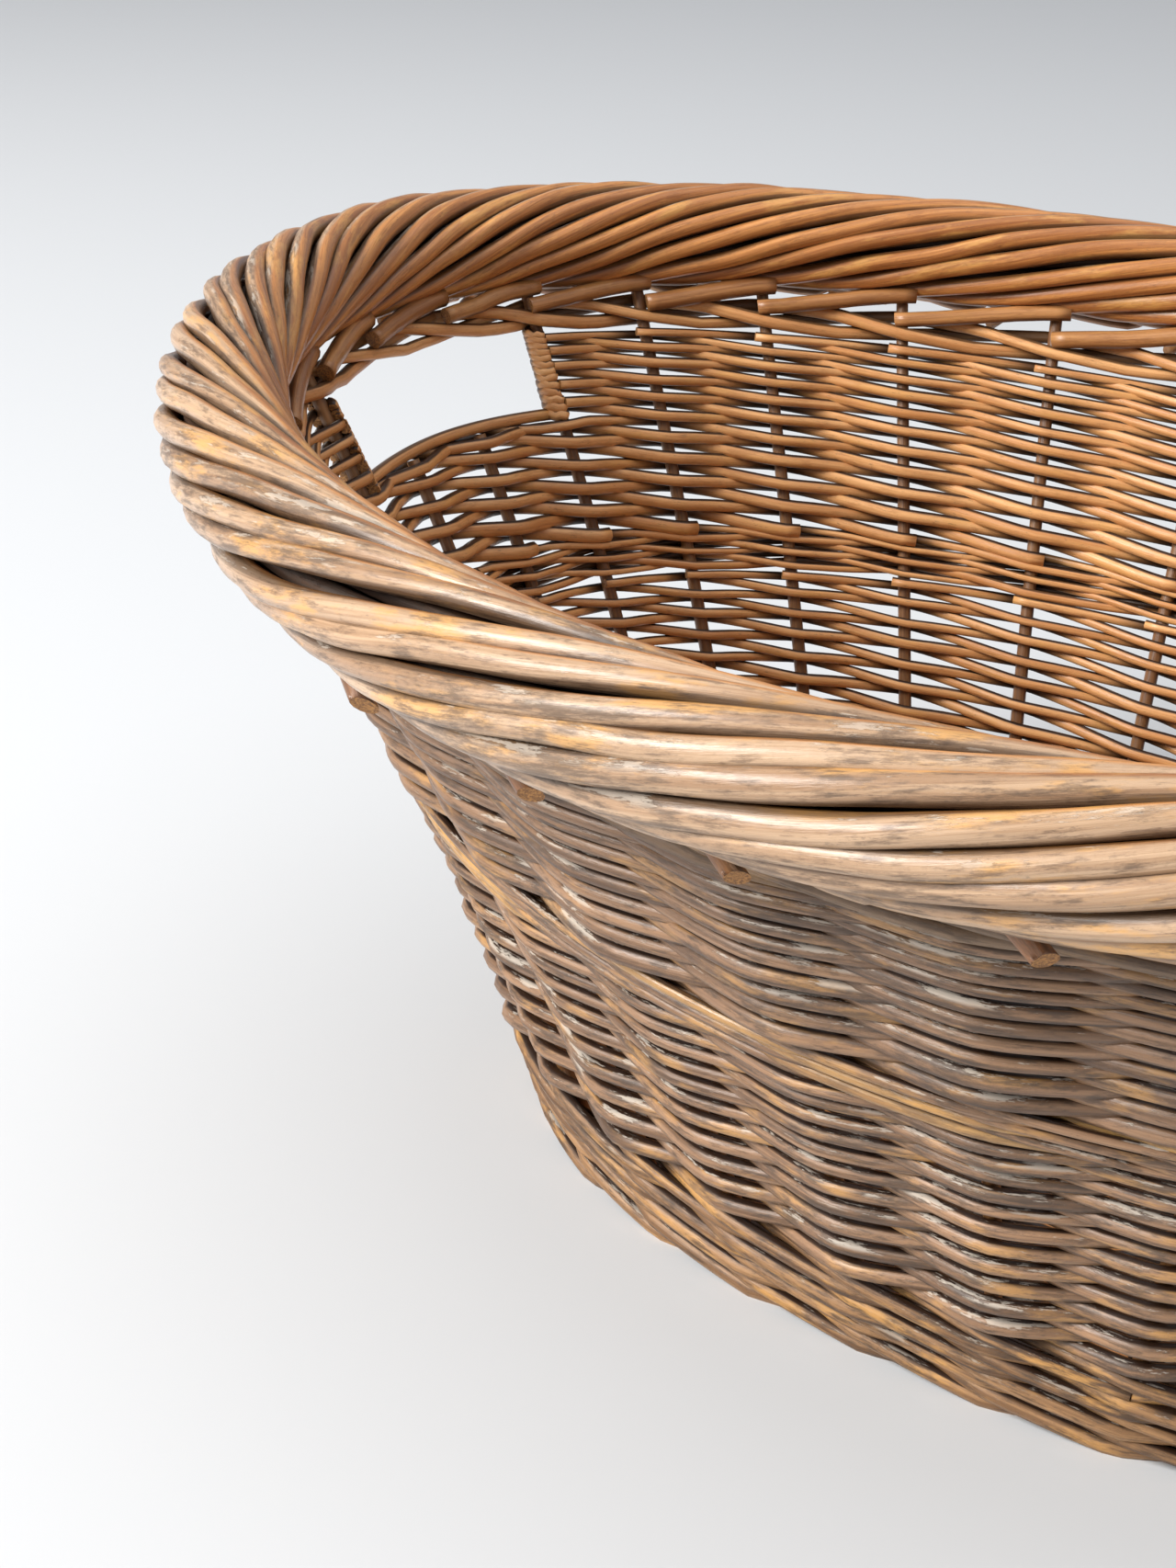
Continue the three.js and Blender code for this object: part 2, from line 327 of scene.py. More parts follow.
class Finish:
    """A material under construction, with one method that adds any node."""

    def __init__(self, name):
        self.material = bpy.data.materials.new(name)
        self.material.use_nodes = True
        self.tree = self.material.node_tree
        self.shader = self.tree.nodes["Principled BSDF"]

    def add(self, kind, settings, inputs, output=0):
        node = self.tree.nodes.new(kind)
        for key, value in settings.items():
            setattr(node, key, value)
        for key, value in inputs.items():
            self.put(node.inputs[key], value)
        return Value(self, node.outputs[output])

    def put(self, socket, value):
        if isinstance(value, Value):
            self.tree.links.new(value.socket, socket)
        else:
            socket.default_value = value

    def surface(self, **inputs):
        for name, value in inputs.items():
            self.put(self.shader.inputs[name.replace("_", " ")], value)

    def mix(self, share, first, second):
        """From the first colour to the second as share goes from 0 to 1."""
        factor, colour_a, colour_b, colour_out = 0, 6, 7, 2
        inputs = {factor: share, colour_a: first, colour_b: second}
        return self.add("ShaderNodeMix", {"data_type": "RGBA"}, inputs, colour_out)

    def attribute(self, name, output):
        return self.add("ShaderNodeAttribute", {"attribute_name": name}, {}, output)

    def noise(self, vector, scale, detail, roughness):
        inputs = {"Vector": vector, "Scale": scale, "Detail": detail, "Roughness": roughness}
        return self.add("ShaderNodeTexNoise", {}, inputs)

    def grain(self, lay, along, across, detail=4, roughness=0.65):
        """Noise drawn out along a rod: so many marks a metre along it and across it."""
        return self.noise(self.vector("MULTIPLY", lay, (along, across, across)), 1, detail, roughness)

    def vector(self, operation, first, second, output=0):
        return self.add("ShaderNodeVectorMath", {"operation": operation}, {0: first, 1: second}, output)

    def parts(self, vector):
        x = self.add("ShaderNodeSeparateXYZ", {}, {"Vector": vector})
        return x, x.output("Y"), x.output("Z")

    def bump(self, height, strength, distance):
        inputs = {"Strength": strength, "Distance": distance, "Height": height}
        self.surface(Normal=self.add("ShaderNodeBump", {}, inputs))


def linear(level):
    """A screen level from 0 to 255 as an amount of light."""
    level /= 255
    return level / 12.92 if level <= 0.04045 else ((level + 0.055) / 1.055) ** 2.4


def rgb(red, green, blue):
    return linear(red), linear(green), linear(blue), 1


MILDEW = rgb(66, 56, 48)
# The next dark brown is painted shade, for the crevices between rods and high under the border.
PAINTED_SHADE = rgb(50, 31, 19)
FLAKE = rgb(226, 214, 198)
HONEY = rgb(226, 168, 92)


def outwardness(finish, place, normal):
    """1 where a face looks out of the basket, and 0 where it looks in."""
    stretch = (RIM_HALF_LENGTH / RIM_HALF_WIDTH) ** 2
    out = finish.vector("NORMALIZE", finish.vector("MULTIPLY", place, (1, stretch, 0)), (0, 0, 0))
    return finish.vector("DOT_PRODUCT", normal, out, "Value").rises(-0.2, 0.3)


def willow(name, outside, inside, mildew, flakes, honey, crevice_shade, gloss, coat=0.0, border_shade=0.0):
    """Peeled willow, varnished long ago. outside and inside are each a pale and a deep colour:
    the faces that look out have weathered, and those that look in are still warm."""
    finish = Finish(name)
    lay = finish.attribute("lay", "Vector")
    seed = finish.attribute("rod_seed", "Fac")
    front = finish.attribute("rod_front", "Fac")
    place = finish.add("ShaderNodeTexCoord", {}, {}, "Object")
    normal = finish.add("ShaderNodeNewGeometry", {}, {}, "Normal")
    out = outwardness(finish, place, normal)
    up = finish.parts(normal)[2]
    high = finish.parts(place)[2].rises(0.13, 0.25)

    streak = finish.grain(lay, 9, 420)
    fine = finish.grain(lay, 60, 2000, 3, 0.7)
    blotch = finish.grain(lay, 70, 420, 5, 0.7)
    patch = finish.grain(lay, 30, 120, 4)
    cloud = finish.noise(place, 14, 3, 0.6)
    tone = finish.add("ShaderNodeTexWhiteNoise", {"noise_dimensions": "1D"}, {"W": seed})

    # Paler and deeper wood, by streak and by rod, with patches of old honey-coloured varnish.
    share = streak.rises(0.36, 0.62) * 0.6 + tone * 0.4
    colour = finish.mix(share, inside[0], inside[1])
    weathered = finish.mix(share, outside[0], outside[1])
    colour = finish.mix(out, colour, weathered)
    colour = finish.mix(patch.rises(0.51, 0.66) * honey, colour, HONEY)
    colour = finish.mix(blotch.rises(0.5, 0.64) * 0.45, colour, finish.mix(out, inside[1], outside[1]))
    # Mildew, in blotches and in specks, mostly on the outside.
    grey = (cloud * 0.3 + blotch * 0.7 + tone * 0.06 - 0.03).rises(0.46, 0.61) * (out * 0.85 + 0.15)
    colour = finish.mix(grey * mildew, colour, MILDEW)
    specks = finish.grain(lay, 160, 700, 5, 0.85).rises(0.56, 0.7)
    colour = finish.mix(specks * mildew * 0.8, colour, MILDEW)
    # Painted shade down the sides of a rod, where it goes behind the stakes, and painted shade high under
    # the border.
    sunk = finish.attribute("rod_sunk", "Fac")
    away = sunk * out + (1 - sunk) * (1 - out)
    crevice_shade_mask = (1 - abs(front) + fine * 0.4 - 0.2).rises(0.24, 0.74) + away.rises(0.55, 1) * 0.9
    # Painted shade in the crevices between rods and on rods behind the stakes.
    colour = finish.mix(crevice_shade_mask.rises(0, 1) * crevice_shade, colour, PAINTED_SHADE)
    # Painted shade on faces that look out, high under the border.
    colour = finish.mix(high * out * border_shade, colour, PAINTED_SHADE)
    # Pale flakes of varnish, on faces that look up and out.
    flake = (finish.grain(lay, 45, 330, 5, 0.75) * 0.7 + cloud * 0.3).rises(0.545, 0.57)
    flaked = flake * up.rises(0.15, 0.7) * out
    colour = finish.mix(flaked * flakes, colour, FLAKE)
    finish.surface(
        Base_Color=colour,
        Roughness=flaked * 0.3 + grey * 0.15 + fine * 0.3 + (gloss - 0.15),
        Coat_Weight=coat,
        Coat_Roughness=0.22,
    )
    finish.bump(streak * 0.5 + fine * 0.4 + flaked * 0.5, 0.6, 0.0007)
    return finish.material


def cut_end(name):
    """The cut across a rod: golden wood, browner in patches."""
    finish = Finish(name)
    lay = finish.attribute("lay", "Vector")
    grain = finish.grain(lay, 200, 1400, 4, 0.7)
    colour = finish.mix(grain.rises(0.38, 0.62), rgb(120, 78, 40), rgb(188, 134, 74))
    finish.surface(Base_Color=colour, Roughness=grain * 0.2 + 0.5)
    finish.bump(grain, 0.5, 0.0005)
    return finish.material


GOLDEN = (rgb(244, 186, 124), rgb(204, 138, 80))
BROWN = (rgb(176, 124, 76), rgb(124, 80, 46))
# The next pair of browns, for the border's core rods, is painted shade inside the roll.
CORE_SHADE = (rgb(92, 62, 38), rgb(54, 36, 24))
border_willow = willow(
    "border_willow", (rgb(214, 180, 146), rgb(160, 123, 90)), (rgb(228, 158, 88), rgb(162, 98, 48)),
    mildew=0.62, flakes=0.4, honey=0.7, crevice_shade=0.68, gloss=0.33, coat=0.3)
end_willow = willow(
    "end_willow", (rgb(152, 100, 58), rgb(98, 64, 38)), (rgb(206, 148, 92), rgb(148, 94, 50)),
    mildew=0.3, flakes=0.1, honey=0.2, crevice_shade=0.5, gloss=0.34, coat=0.25)
pale_willow = willow(
    "pale_willow", (rgb(214, 168, 104), rgb(156, 114, 70)), GOLDEN,
    mildew=0.4, flakes=0.3, honey=0.6, crevice_shade=0.85, gloss=0.32, coat=0.2)
top_willow = willow(
    "top_willow", (rgb(160, 130, 100), rgb(112, 88, 66)), GOLDEN,
    mildew=0.5, flakes=0.3, honey=0.3, crevice_shade=0.85, gloss=0.42, border_shade=0.35)
side_willow = willow(
    "side_willow", (rgb(174, 134, 100), rgb(92, 66, 46)), GOLDEN,
    mildew=0.62, flakes=0.6, honey=0.45, crevice_shade=1.0, gloss=0.38, coat=0.1, border_shade=0.35)
foot_willow = willow(
    "foot_willow", (rgb(180, 136, 92), rgb(100, 70, 46)), GOLDEN,
    mildew=0.65, flakes=0.4, honey=0.6, crevice_shade=1.0, gloss=0.44)
stake_willow = willow(
    "stake_willow", BROWN, BROWN, mildew=0.3, flakes=0, honey=0.1, crevice_shade=0.3, gloss=0.42)
core_willow = willow(
    "core_willow", CORE_SHADE, CORE_SHADE, mildew=0.6, flakes=0, honey=0, crevice_shade=0.8, gloss=0.6)
base_willow = willow(
    "base_willow", BROWN, GOLDEN, mildew=0.4, flakes=0.1, honey=0.2, crevice_shade=0.8, gloss=0.5)
cut_willow = cut_end("cut_willow")


# ---------------------------------------------------------------- the wall

# Points and rings a stake of a rod in the siding, and the sides of its section.
STEPS = 10
RINGS_A_STAKE = 8
WEAVER_SIDES = 8

# French randing, in stakes: a rod starts before its own stake, and stops short of the last.
BUTT_REACH = 1.1
TIP_SHORT = 0.85

# In rounds: how much a rod rises on its way in behind the next stake, and the rest on its way
# out again, the height it starts at, and the most that it rises over the sill's round under one.
RISE_GOING_IN = 0.58
FIRST_HEIGHT = 0.42
UNDER_SILL = 0.7

# A hand hold cuts rods up. A scrap with no more points than the first of these is left out.
SHORTEST_RUN = 4
SHORT_ROD_STAKES = 6
LONGEST_SHORT_ROD = 8 * STEPS

# Where the rods turn back at a hand hold: the first of them, and the next after each, in rounds.
FIRST_TURN = SILL_ROUND + 0.8
TURN_PITCH = 0.4
TURN_STEPS = 13

# Waling: where a strand is, 1 outside and -1 inside, and how high, as it passes three stakes.
WALE_STAKES = (0, 0.42, 1, 2, 2.58, 3)
WALE_SIDES = (-1, -0.2, 1, 1, -0.2, -1)
LIFT_STAKES = (0, 0.5, 1, 2, 2.5, 3)
WALE_LIFTS = (0, 0.55, 0.5, -0.5, -0.55, 0)
WALE_POINTS = STAKES * 6 + 1
FLATTER_AT_HOLD = 0.5

UPSETT_ROUNDS = 4
LOWER_ROUNDS = 11
MIDDLE_ROUNDS = 3
UPPER_ROUNDS = 10
LOWER_CROWDING = 0.25
UPPER_CROWDING = 0.32
BUTT_RADIUS = 3.1 * MM
LOWER_TIP_RADIUS = 2.0 * MM
UPPER_TIP_RADIUS = 1.9 * MM


def band_level(band, share, crowding):
    """The level of the wall at a share of the way up a band whose rounds get thinner upwards."""
    return band[0] + (band[1] - band[0]) * ((1 + crowding) * share - crowding * share**2)


def zigzag(share, roundness=0.965):
    """1 in front of a stake, at even shares, and -1 behind it, nearly straight between."""
    return np.arcsin(roundness * np.cos(math.pi * share)) / math.asin(roundness)


def depth_at(side, radius):
    """side 1 is outside the stakes and -1 inside them."""
    return STAKE_DEPTH - side * (STAKE_RADIUS + radius)


def taper(thick, thin, share):
    return thick + (thin - thick) * np.clip(share, 0, 1) ** 0.8


def in_hand_hold(stake):
    """Whether each place lies between the two stakes at the sides of a hand hold."""
    inside = np.zeros(np.shape(stake), bool)
    for first, last in HOLD_POSTS:
        for lap in range(-1, 3):
            before, after = first + lap * STAKES, last + lap * STAKES
            inside |= (stake > before + NEARLY) & (stake < after - NEARLY)
    return inside


def eased(share):
    """From 0 to 1 across a bay, a little flatter at the stakes than between them."""
    return 0.5 * np.clip(share, 0, 1) + 0.5 * smooth(share)


def softened(values, reach=2):
    """Each value as the mean of itself and its nearest few at both sides."""
    count = 2 * reach + 1
    return np.convolve(np.pad(values, reach, "edge"), np.full(count, 1 / count), "valid")


def randed_line(band, rounds, start, crowding, thick, thin):
    """French randing: the rod that starts at a stake goes in front of one and behind one, and
    comes out over its neighbour one round higher. Returns stake, level, depth and radius, and
    where a hand hold leaves the rod out."""
    share = np.arange(-BUTT_REACH, 2 * rounds - TIP_SHORT, 1 / STEPS)
    stroke = np.clip(np.floor(share / 2 + NEARLY), 0, rounds - 1)
    within = share - 2 * stroke
    climb = RISE_GOING_IN * eased(within) + (1 - RISE_GOING_IN) * eased(within - 1)
    climb = np.where(share < 0, (1 - RISE_GOING_IN) * (eased(share + 1) - 1), climb)
    stake = start + share
    height = stroke + climb + FIRST_HEIGHT
    held = in_hand_hold(stake) & (band is UPPER_SIDING)
    under = held & (stroke <= SILL_ROUND)
    height = softened(np.where(under, np.minimum(height, SILL_ROUND + UNDER_SILL), height))
    radius = taper(thick, thin, share / (2 * rounds))
    radius = radius * (1 + 0.06 * dice.normal()) * (1 + wander(len(share), 0.05))
    level = band_level(band, height / rounds, crowding) + wander(len(share), 0.0018)
    depth = depth_at(zigzag(share), radius) + wander(len(share), 0.6 * MM)
    return stake, level, depth, radius, held & (stroke > SILL_ROUND)


def runs(keep):
    """Where a list of true and false is true, as slices."""
    edges = np.flatnonzero(np.diff(np.concatenate(([0], keep.astype(int), [0]))))
    return [slice(a, b) for a, b in zip(edges[::2], edges[1::2])]


def outwards(turn):
    """The level direction out of the wall, at its foot."""
    inward = base_oval.inward(turn)
    return np.column_stack([-inward, np.zeros(len(turn))])


def wall_rod(stake, level, depth, radius):
    turn = turn_at(stake)
    sunk = np.clip((depth - STAKE_DEPTH) / (2 * (STAKE_RADIUS + radius)) + 0.5, 0, 1)
    return Rod(wall_point(turn, depth, level), radius, outwards(turn), sunk=sunk)


def siding(name, band, rounds, crowding, thick, thin):
    long_rods, short_rods = [], []
    for start in range(STAKES):
        *laid, gone = randed_line(band, rounds, start, crowding, thick, thin)
        for run in runs(~gone):
            length = run.stop - run.start
            if length > SHORTEST_RUN:
                rod = wall_rod(*(values[run] for values in laid))
                (long_rods if length > LONGEST_SHORT_ROD else short_rods).append(rod)
    rods_piece(name, long_rods, 2 * rounds * RINGS_A_STAKE, WEAVER_SIDES, side_willow, [name])
    if short_rods:
        rings = SHORT_ROD_STAKES * RINGS_A_STAKE
        rods_piece(f"{name}_short_rods", short_rods, rings, WEAVER_SIDES, side_willow, [name])


def post_turn(post, way, height):
    """Half a turn of one rod round the post of a hand hold, from outside to inside."""
    radius = taper(BUTT_RADIUS, UPPER_TIP_RADIUS, height / UPPER_ROUNDS)
    level = band_level(UPPER_SIDING, (height + 0.5) / UPPER_ROUNDS, UPPER_CROWDING)
    half = np.linspace(0, math.pi, TURN_STEPS)
    turn = turn_at(post)
    reach = (STAKE_RADIUS + radius) * np.sin(half)
    side = np.cos(half) * (0.9 + 0.1 * dice.random())
    line = wall_point(turn + way * reach / wall_top_oval.length, depth_at(side, radius), level)
    line[:, 2] += wander(TURN_STEPS, 0.6 * MM)
    return Rod(line, radius, line - wall_point(turn, STAKE_DEPTH, level))


def post_turns():
    rods = []
    for posts in HOLD_POSTS:
        for post, way in zip(posts, (1, -1)):
            for height in np.arange(FIRST_TURN, UPPER_ROUNDS, TURN_PITCH):
                rods.append(post_turn(post, way, height))
    rods_piece(
        "hand_hold_turns", rods, TURN_STEPS, WEAVER_SIDES, side_willow, ["upper_siding"])


def waled_line(band, rounds, strand, round_number, radius, spread):
    """Waling with three strands: in front of two stakes and behind one."""
    stake = int(dice.integers(STAKES)) + np.linspace(0, STAKES, WALE_POINTS)
    phase = np.mod(stake + strand, 3)
    side = np.interp(phase, WALE_STAKES, WALE_SIDES)
    lift = np.interp(phase, LIFT_STAKES, WALE_LIFTS)
    share = (round_number + 0.5 + lift * spread) / rounds
    level = band_level(band, share, 0) + wander(WALE_POINTS, 0.0012)
    if band is TOP_WALE:
        side = side * np.where(in_hand_hold(stake), FLATTER_AT_HOLD, 1)
    size = radius * (1 + 0.09 * dice.normal()) * (1 + wander(WALE_POINTS, 0.08))
    depth = depth_at(side, size) + wander(WALE_POINTS, 0.5 * MM)
    return stake, level, depth, size


def wale(name, band, rounds, radius, finishes, spread=0.55):
    """finishes are those of the three strands, in turn."""
    kinds = {}
    for round_number in range(rounds):
        shift = int(dice.integers(3))
        for strand in range(3):
            line = waled_line(band, rounds, strand + shift, round_number, radius, spread)
            kinds.setdefault(finishes[strand], []).append(wall_rod(*line))
    for finish, rods in kinds.items():
        piece_name = f"{name}_in_{finish.name}"
        rods_piece(piece_name, rods, WALE_POINTS, WEAVER_SIDES, finish, [name])


# ---------------------------------------------------------------- stakes and sill

# A stake lies in the base from its foot to its heel, bends, and goes up in the wall.
STAKE_FOOT_DEPTH = 31.5 * MM
STAKE_HEEL_DEPTH = STAKE_DEPTH + 6 * MM
STAKE_BEND_LEVEL = 0.08
FOOT_STRAIGHT = 0.3
STAKE_RINGS = 30
STAKE_SIDES = 10
STAKE_TAPER = 0.86
UP_IN_BORDER = 0.36
ABOVE_SILL = 0.004

SILL_ROD_RADIUS = 2.6 * MM
SILL_ROD_LIFT = 2.2 * MM
SILL_ROD_ARCH = 2.0 * MM
SILL_ROD_DEPTH = STAKE_DEPTH - 1 * MM
SILL_ROD_STAKES = 1.45
SILL_RINGS = 40


def stake_line(number, stops):
    """stops is whether the stake ends at the sill of a hand hold."""
    turn = turn_at(number)
    foot = wall_point(turn, STAKE_FOOT_DEPTH, 0.0)
    heel = wall_point(turn, STAKE_HEEL_DEPTH, 0.0)
    foot[2] = heel[2] = BASE_MIDDLE
    if stops:
        levels = np.linspace(STAKE_BEND_LEVEL, SILL_HEIGHT / wall_top(turn) + ABOVE_SILL, 12)
    else:
        levels = np.linspace(STAKE_BEND_LEVEL, 1.0, 14)
    wall = wall_point(turn, STAKE_DEPTH, levels)
    line = [foot, heel + (foot - heel) * FOOT_STRAIGHT, heel, *wall]
    if not stops:
        centre = np.append(rim_oval.at(turn), border_height(turn))
        line.append(centre + (wall[-1] - centre) * UP_IN_BORDER)
    return np.array(line)


def stakes():
    for number in range(STAKES):
        line = stake_line(number, bool(in_hand_hold(number)))
        radius = np.linspace(STAKE_RADIUS, STAKE_RADIUS * STAKE_TAPER, len(line))
        inward_x, inward_y = base_oval.inward(turn_at(number))
        name = f"side_stake_{number + 1:02d}"
        rod = Rod(line, radius, (inward_y, -inward_x, 0))
        rods_piece(name, [rod], STAKE_RINGS, STAKE_SIDES, stake_willow, [name])


def sill_rods():
    for name, middle in (("hand_hold_sill_right", -0.5), ("hand_hold_sill_left", 14.5)):
        stake = np.linspace(middle - SILL_ROD_STAKES, middle + SILL_ROD_STAKES, SILL_RINGS)
        turn = turn_at(stake)
        line = wall_point(turn, SILL_ROD_DEPTH, (SILL_HEIGHT + SILL_ROD_LIFT) / wall_top(turn))
        line[:, 2] += SILL_ROD_ARCH * np.cos(np.linspace(-1.5, 1.5, SILL_RINGS))
        rod = Rod(line, SILL_ROD_RADIUS, outwards(turn))
        rods_piece(name, [rod], SILL_RINGS, STAKE_SIDES, pale_willow, [name])


# ---------------------------------------------------------------- the border

RODS_A_STAKE = 2
BORDER_RODS = STAKES * RODS_A_STAKE
ROD_RADIUS = 4.0 * MM
BORDER_RINGS = 120
BORDER_SIDES = 12

# A border rod starts in the heart of the roll, comes down to its underside, and then goes nearly
# once round it while it runs on past some seven stakes. Its tail tucks in a little.
BEND_AHEAD = np.array([-0.08, -0.03, 0.01, 0.09, 0.2])
BEND_ANGLE = np.radians([-62, -76, -88, -92, -90])
BEND_REACH = np.array([4, 11, 17.5, 19.3, 19.3]) * MM
LARGEST_BULGE = 3 * MM
ROUND_FROM = math.radians(-86)
ROUND_TO = math.radians(258)
ROUND_AHEAD = 0.34
ROUND_POINTS = 110
STAKES_A_TURN = 7.0
TAIL_TUCK = 2.5 * MM

# Rings of rods in the core, from outside: how many, how far out, how thick, and turns of lay.
CORE_RINGS = ((9, 10.4 * MM, 3.5 * MM, 3), (4, 4.2 * MM, 3.0 * MM, 4))
CORE_POINTS = 241
CORE_SIDES = 7

# The ends of the rods: short stubs outside, and long sloping ends inside.
END_SIDES = 12
END_RINGS = 14
STUB_POINTS = 8
STUB_RADIUS = 3.2 * MM
STUB_SLANT = -0.8
INSIDE_END_RADIUS = 3.9 * MM
INSIDE_END_SLANT = 0.3


def border_frame(turn):
    """The border's centre line, and its outward direction."""
    centre = np.concatenate([rim_oval.at(turn), border_height(turn)[..., None]], -1)
    inward = rim_oval.inward(turn)
    return centre, np.concatenate([-inward, np.zeros_like(inward[..., :1])], -1)


def border_point(turn, angle, reach):
    """angle 0 looks outwards, a quarter up, a half inwards."""
    centre, out = border_frame(turn)
    away = np.cos(angle)[..., None] * out + np.sin(angle)[..., None] * UP
    return centre + away * reach[..., None], away


def border_rod(stake, size):
    """One rod: from the heart of the roll down to its underside, then nearly once round it."""
    bulge = LARGEST_BULGE * dice.random() ** 2
    sweep = np.linspace(ROUND_FROM, ROUND_TO, ROUND_POINTS)
    ahead = ROUND_AHEAD + (sweep - ROUND_FROM) / (2 * math.pi) * STAKES_A_TURN
    turn = turn_at(stake + np.concatenate([BEND_AHEAD, ahead]))
    angle = np.concatenate([BEND_ANGLE, sweep + wander(ROUND_POINTS, 0.05)])
    tail = TAIL_TUCK * smooth(np.linspace(-12, 1, ROUND_POINTS))
    reach = BORDER_RADIUS - size + wander(ROUND_POINTS, 0.7 * MM) - tail
    return border_point(turn, angle, np.concatenate([BEND_REACH + bulge, reach]))


def border_roll():
    rods = []
    for k in range(BORDER_RODS):
        size = ROD_RADIUS * (1 + 0.06 * dice.normal())
        line, away = border_rod((k + 0.08 * dice.normal()) / RODS_A_STAKE, size)
        rods.append(Rod(line, size * np.linspace(1.08, 0.9, len(line)), away))
    for name, half in (("border_rods_first", rods[0::2]), ("border_rods_second", rods[1::2])):
        rods_piece(
            name, half, BORDER_RINGS, BORDER_SIDES, border_willow,
            ["border_roll"], corner_wave=0.04)


def border_core():
    rods = []
    for number, reach, size, turns in CORE_RINGS:
        for k in range(number):
            turn = np.linspace(0, 1, CORE_POINTS)
            angle = 2 * math.pi * (k / number + turn * turns)
            line, away = border_point(turn, angle, reach + wander(CORE_POINTS, 0.6 * MM))
            line[-1] = line[0]
            rods.append(Rod(line, size, away))
    rods_piece(
        "border_core", rods, CORE_POINTS, CORE_SIDES, core_willow, ["border_core"])


def rim_place(turn, inward, height):
    """A place beside the border: so far inside its centre line, and so high."""
    centre, out = border_frame(turn)
    line = centre - out * inward[:, None]
    line[:, 2] = height
    return line, out


def ends_outside():
    """A stub beside each stake, coming down from under the border and cut off short."""
    rods = []
    for number in range(STAKES):
        turn = turn_at(number + 0.2 + 0.05 * dice.normal())
        turn = turn + np.linspace(-10, 12 + 2 * dice.normal(), STUB_POINTS) * MM / rim_oval.length
        fall = np.linspace(-9, -29.5 + 1.2 * dice.normal(), STUB_POINTS) * MM
        inward = np.linspace(-3, -4, STUB_POINTS) * MM
        line, out = rim_place(turn, inward, border_height(turn) + fall)
        rods.append(Rod(line, STUB_RADIUS * (1 + 0.08 * dice.normal()), out, slant=STUB_SLANT))
    return rods


def ends_inside():
    """A longer end in each bay, sloping down along the inside to lie against the next stake."""
    rods = []
    for number in range(STAKES):
        turn = turn_at(np.linspace(number - 1.1, number + 0.02 + 0.04 * dice.normal(), END_RINGS))
        share = eased(np.linspace(0, 1, END_RINGS))
        top = border_height(turn) - 16 * MM
        rest = wall_top(turn) + 2 * MM
        height = top * (1 - share) + rest * share + wander(END_RINGS, 0.3 * MM)
        line, out = rim_place(turn, np.linspace(14.5, 21.5, END_RINGS) * MM, height)
        radius = INSIDE_END_RADIUS * (1 + 0.06 * dice.normal()) * np.linspace(1, 0.9, END_RINGS)
        rods.append(Rod(line, radius, 0.7 * UP - out, slant=INSIDE_END_SLANT))
    return rods


def border_ends():
    for name, rods in (("border_ends_outside", ends_outside()), ("border_ends_inside", ends_inside())):
        rods_piece(name, rods, END_RINGS, END_SIDES, end_willow, ["border_roll"])


# ---------------------------------------------------------------- the base

CROSS_STAKES = range(4, 10)
LONG_STICKS = 3
LONG_STICK_RADIUS = 2.6 * MM
LONG_STICK_RINGS = 30
SPLIT_RADIUS = 2.9 * MM
CROSS_STICK_RINGS = 40

# A cross stick's two halves lie close together, and part in the middle round the long sticks.
HALVES_APART = 1.5 * MM
SPLIT_OPENING = 2.4 * MM
SPLIT_REACH = 13 * MM

# The weave starts close round the long sticks and stops short of the wall.
WEAVER_RADIUS = 1.9 * MM
WEAVE_START = 11 * MM
WEAVE_PITCH = WEAVER_RADIUS * 2.25
WEAVE_END = BASE_HALF_WIDTH - 13 * MM
WEAVE_LIFT = 3.4 * MM + WEAVER_RADIUS * 0.8
WEAVE_RINGS = 110
WEAVE_SIDES = 6
WEAVE_POINTS = 30
POINTS_A_CROSSING = 12
ROOM_AT_TURN = 4 * MM

cross_places = [float(base_oval.at((turn_at(k) + turn_at(k + 1)) / 2)[0]) for k in CROSS_STAKES]


def sticks_crossed(oval):
    """Where a round of the weave crosses the cross sticks, as shares of the way round."""
    far_side = slice(OVAL_STEPS // 2 + 1)
    crossed = [x for x in cross_places if abs(x) < oval.x.max() - ROOM_AT_TURN]
    return [float(np.interp(-x, -oval.x[far_side], oval.share[far_side])) for x in crossed]


def base_weave():
    """Two strands a round, over and under the cross sticks in turn."""
    rods = []
    for width in np.arange(WEAVE_START, WEAVE_END, WEAVE_PITCH):
        oval = Oval(BASE_HALF_LENGTH - BASE_HALF_WIDTH + width, width, BASE_ROUNDNESS)
        places = sticks_crossed(oval)
        count = WEAVE_POINTS + POINTS_A_CROSSING * len(places)
        turn = np.linspace(0, 1, count)
        marks = [0.0, *sorted(places), 0.5, *sorted(1 - p for p in places), 1.0]
        phase = np.interp(turn, marks, np.arange(len(marks)))
        flat = oval.at(turn)
        for strand in range(2):
            lift = WEAVE_LIFT * np.cos(math.pi * (phase + strand))
            line = np.column_stack([flat, BASE_MIDDLE + lift + wander(count, 0.3 * MM)])
            line[-1] = line[0]
            rods.append(Rod(line, WEAVER_RADIUS * (1 + 0.1 * dice.normal()), UP))
    rods_piece(
        "base_weave", rods, WEAVE_RINGS, WEAVE_SIDES, base_willow, ["base_weave"])


def base_long_sticks():
    for k in range(LONG_STICKS):
        name = f"base_long_stick_{k + 1}"
        low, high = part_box(name)
        x = np.linspace(low[0], high[0], LONG_STICK_RINGS)
        y = (low[1] + high[1]) / 2 + wander(LONG_STICK_RINGS, 0.4 * MM)
        line = np.column_stack([x, y, np.full(LONG_STICK_RINGS, BASE_MIDDLE)])
        rod = Rod(line, LONG_STICK_RADIUS, UP)
        rods_piece(
            name, [rod], LONG_STICK_RINGS, STAKE_SIDES, base_willow, [name],
            corner_wave=0.06)


